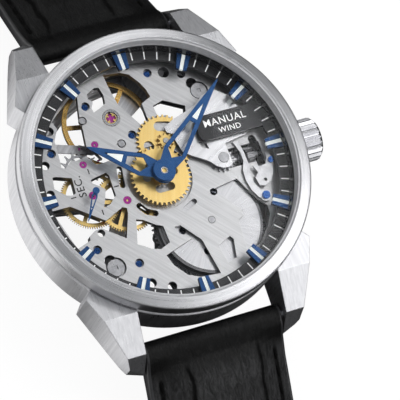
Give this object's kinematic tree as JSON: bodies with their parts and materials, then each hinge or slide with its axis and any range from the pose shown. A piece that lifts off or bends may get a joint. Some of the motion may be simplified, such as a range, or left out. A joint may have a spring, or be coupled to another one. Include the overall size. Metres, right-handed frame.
{
  "type": "wristwatch",
  "caption": "Round wristwatch with open-worked hand-wound movement, small seconds, fluted crown, faceted lugs and grained leather strap with pin buckle, laid open.",
  "frame": {"origin": "on the table plane, directly under the centre of the case", "axes": "+X towards the crown (three o'clock), +Y towards the twelve o'clock strap half, +Z out of the dial"},
  "size_m": [0.0473, 0.2456, 0.0198],
  "materials": {
    "brushed_case": "brushed",
    "polished_steel": "polished",
    "plate": "straight grained",
    "snailed": "circular grained",
    "gilt": "satin",
    "spring_steel": "satin",
    "blued": "satin",
    "lume": "matte",
    "ruby": "polished",
    "dial": "satin",
    "sapphire": "polished",
    "gasket": "matte",
    "leather": "embossed, semi-gloss"
  },
  "bodies": {
    "case": {"case_body": "brushed_case", "bezel": "brushed_case", "front_crystal": "sapphire", "crystal_gaskets": "gasket", "flange_ring": "dial", "dial_ring": "dial", "hour_indexes": "blued", "index_lume": "lume", "case_back": "brushed_case", "back_crystal": "sapphire", "movement_ring": "dial", "spring_bars": "polished_steel", "crown_tube": "polished_steel", "main_plate": "plate", "keyless_cover": "plate", "setting_cover": "polished_steel", "train_bridge": "plate", "barrel_bridge": "plate", "balance_cock": "plate", "pallet_bridge": "plate", "jewels": "ruby", "shock_settings": "gilt", "blue_screws": "blued", "plate_pins": "polished_steel", "hairspring": "spring_steel"},
    "centre_group": {"centre_wheel": "gilt", "cannon_pinion": "polished_steel", "minute_hand": "blued", "minute_lume": "lume"},
    "hour_group": {"hour_wheel": "gilt", "hour_hand": "blued", "hour_lume": "lume"},
    "minute_work": {"minute_wheel": "gilt"},
    "intermediate": {"intermediate_wheel": "polished_steel"},
    "setting": {"setting_wheel": "polished_steel"},
    "third": {"third_wheel": "gilt"},
    "fourth": {"fourth_wheel": "gilt", "seconds_hand": "blued"},
    "escape": {"escape_wheel": "polished_steel"},
    "fork": {"pallet_fork": "polished_steel", "pallet_stones": "ruby"},
    "balance": {"balance_wheel": "gilt"},
    "barrel": {"barrel_drum": "snailed", "barrel_cover": "snailed", "mainspring": "spring_steel"},
    "arbor": {"barrel_arbor": "polished_steel", "ratchet_wheel": "snailed"},
    "crown_wheel": {"crown_wheel": "snailed"},
    "keyless": {"keyless_pinions": "polished_steel"},
    "crown": {"crown": "brushed_case", "stem": "polished_steel"},
    "click": {"click": "polished_steel"},
    "yoke": {"yoke": "polished_steel"},
    "strap_12": {"strap_12": "leather", "fixed_keeper": "leather"},
    "strap_6": {"strap_6": "leather"},
    "buckle": {"buckle_frame": "brushed_case", "buckle_bar": "polished_steel"},
    "tongue": {"buckle_tongue": "brushed_case"},
    "free_keeper": {"free_keeper": "leather"}
  },
  "joints": [
    {"name": "seconds_turn", "type": "hinge", "parent": "case", "child": "fourth", "pos_m": [-0.0104, 0, 0.01623], "axis": [0, 0, 1], "continuous": true},
    {"name": "minute_turn", "type": "hinge", "parent": "case", "child": "centre_group", "pos_m": [0, 0, 0.01623], "axis": [0, 0, 1], "continuous": true},
    {"name": "hour_turn", "type": "hinge", "parent": "case", "child": "hour_group", "pos_m": [0, 0, 0.01623], "axis": [0, 0, 1], "continuous": true},
    {"name": "minute_wheel_turn", "type": "hinge", "parent": "case", "child": "minute_work", "pos_m": [0.0026, 0.00484, 0.01623], "axis": [0, 0, 1], "continuous": true},
    {"name": "intermediate_turn", "type": "hinge", "parent": "case", "child": "intermediate", "pos_m": [0.0079, 0.00266, 0.01623], "axis": [0, 0, 1], "continuous": true},
    {"name": "setting_wheel_turn", "type": "hinge", "parent": "case", "child": "setting", "pos_m": [0.00995, 0.00005, 0.01623], "axis": [0, 0, 1], "continuous": true},
    {"name": "third_turn", "type": "hinge", "parent": "case", "child": "third", "pos_m": [-0.0058, -0.002, 0.01623], "axis": [0, 0, 1], "continuous": true},
    {"name": "escape_turn", "type": "hinge", "parent": "case", "child": "escape", "pos_m": [-0.0102, 0.0048, 0.01623], "axis": [0, 0, 1], "continuous": true},
    {"name": "barrel_turn", "type": "hinge", "parent": "case", "child": "barrel", "pos_m": [0.0052, -0.00815, 0.01623], "axis": [0, 0, 1], "continuous": true},
    {"name": "fork_rock", "type": "hinge", "parent": "case", "child": "fork", "pos_m": [-0.0075, 0.00725, 0.01623], "axis": [0, 0, 1], "range_deg": [-4, 4]},
    {"name": "balance_swing", "type": "hinge", "parent": "case", "child": "balance", "pos_m": [-0.0037, 0.01055, 0.01623], "axis": [0, 0, 1], "range_deg": [-270, 270]},
    {"name": "crown_turn", "type": "hinge", "parent": "case", "child": "keyless", "pos_m": [0, 0, 0.01303], "axis": [1, 0, 0], "continuous": true},
    {"name": "crown_pull", "type": "slide", "parent": "keyless", "child": "crown", "axis": [1, 0, 0], "range_m": [0, 0.0008]},
    {"name": "crown_wheel_turn", "type": "hinge", "parent": "case", "child": "crown_wheel", "pos_m": [0.0104, 0, 0.01623], "axis": [0, 0, 1], "continuous": true},
    {"name": "ratchet_turn", "type": "hinge", "parent": "case", "child": "arbor", "pos_m": [0.0052, -0.00815, 0.01623], "axis": [0, 0, 1], "continuous": true},
    {"name": "click_swing", "type": "hinge", "parent": "case", "child": "click", "pos_m": [-0.0019, -0.0076, 0.01623], "axis": [0, 0, 1], "range_deg": [-12, 0]},
    {"name": "yoke_swing", "type": "hinge", "parent": "case", "child": "yoke", "pos_m": [0.0143, -0.0069, 0.01623], "axis": [0, 0, 1], "range_deg": [0, 3.1]},
    {"name": "strap_12_hinge", "type": "hinge", "parent": "case", "child": "strap_12", "pos_m": [0, 0.0236, 0.01133], "axis": [1, 0, 0], "range_deg": [-55, 60]},
    {"name": "strap_6_hinge", "type": "hinge", "parent": "case", "child": "strap_6", "pos_m": [0, -0.0236, 0.01133], "axis": [-1, 0, 0], "range_deg": [-55, 60]},
    {"name": "buckle_hinge", "type": "hinge", "parent": "strap_12", "child": "buckle", "pos_m": [0, 0.09627, 0.00391], "axis": [1, 0, 0], "range_deg": [-35, 30]},
    {"name": "tongue_hinge", "type": "hinge", "parent": "buckle", "child": "tongue", "pos_m": [0, 0.09627, 0.00391], "axis": [1, 0, 0], "range_deg": [0, 80]},
    {"name": "keeper_slide", "type": "slide", "parent": "strap_12", "child": "free_keeper", "axis": [0, 0.9986, 0.0523], "range_m": [-0.008, 0.009]}
  ],
  "couplings": [
    {"joint": "minute_turn", "follows": "seconds_turn", "ratio": 0.016667},
    {"joint": "hour_turn", "follows": "seconds_turn", "ratio": 0.0013889},
    {"joint": "minute_wheel_turn", "follows": "seconds_turn", "ratio": -0.0055556},
    {"joint": "intermediate_turn", "follows": "seconds_turn", "ratio": 0.014286},
    {"joint": "setting_wheel_turn", "follows": "seconds_turn", "ratio": -0.013333},
    {"joint": "third_turn", "follows": "seconds_turn", "ratio": -0.13333},
    {"joint": "escape_turn", "follows": "seconds_turn", "ratio": -10},
    {"joint": "barrel_turn", "follows": "seconds_turn", "ratio": -0.0025641},
    {"joint": "crown_wheel_turn", "follows": "crown_turn", "ratio": 0.33333},
    {"joint": "ratchet_turn", "follows": "crown_turn", "ratio": -0.21429},
    {"joint": "yoke_swing", "follows": "crown_pull", "rad_per_m": 65.45}
  ]
}
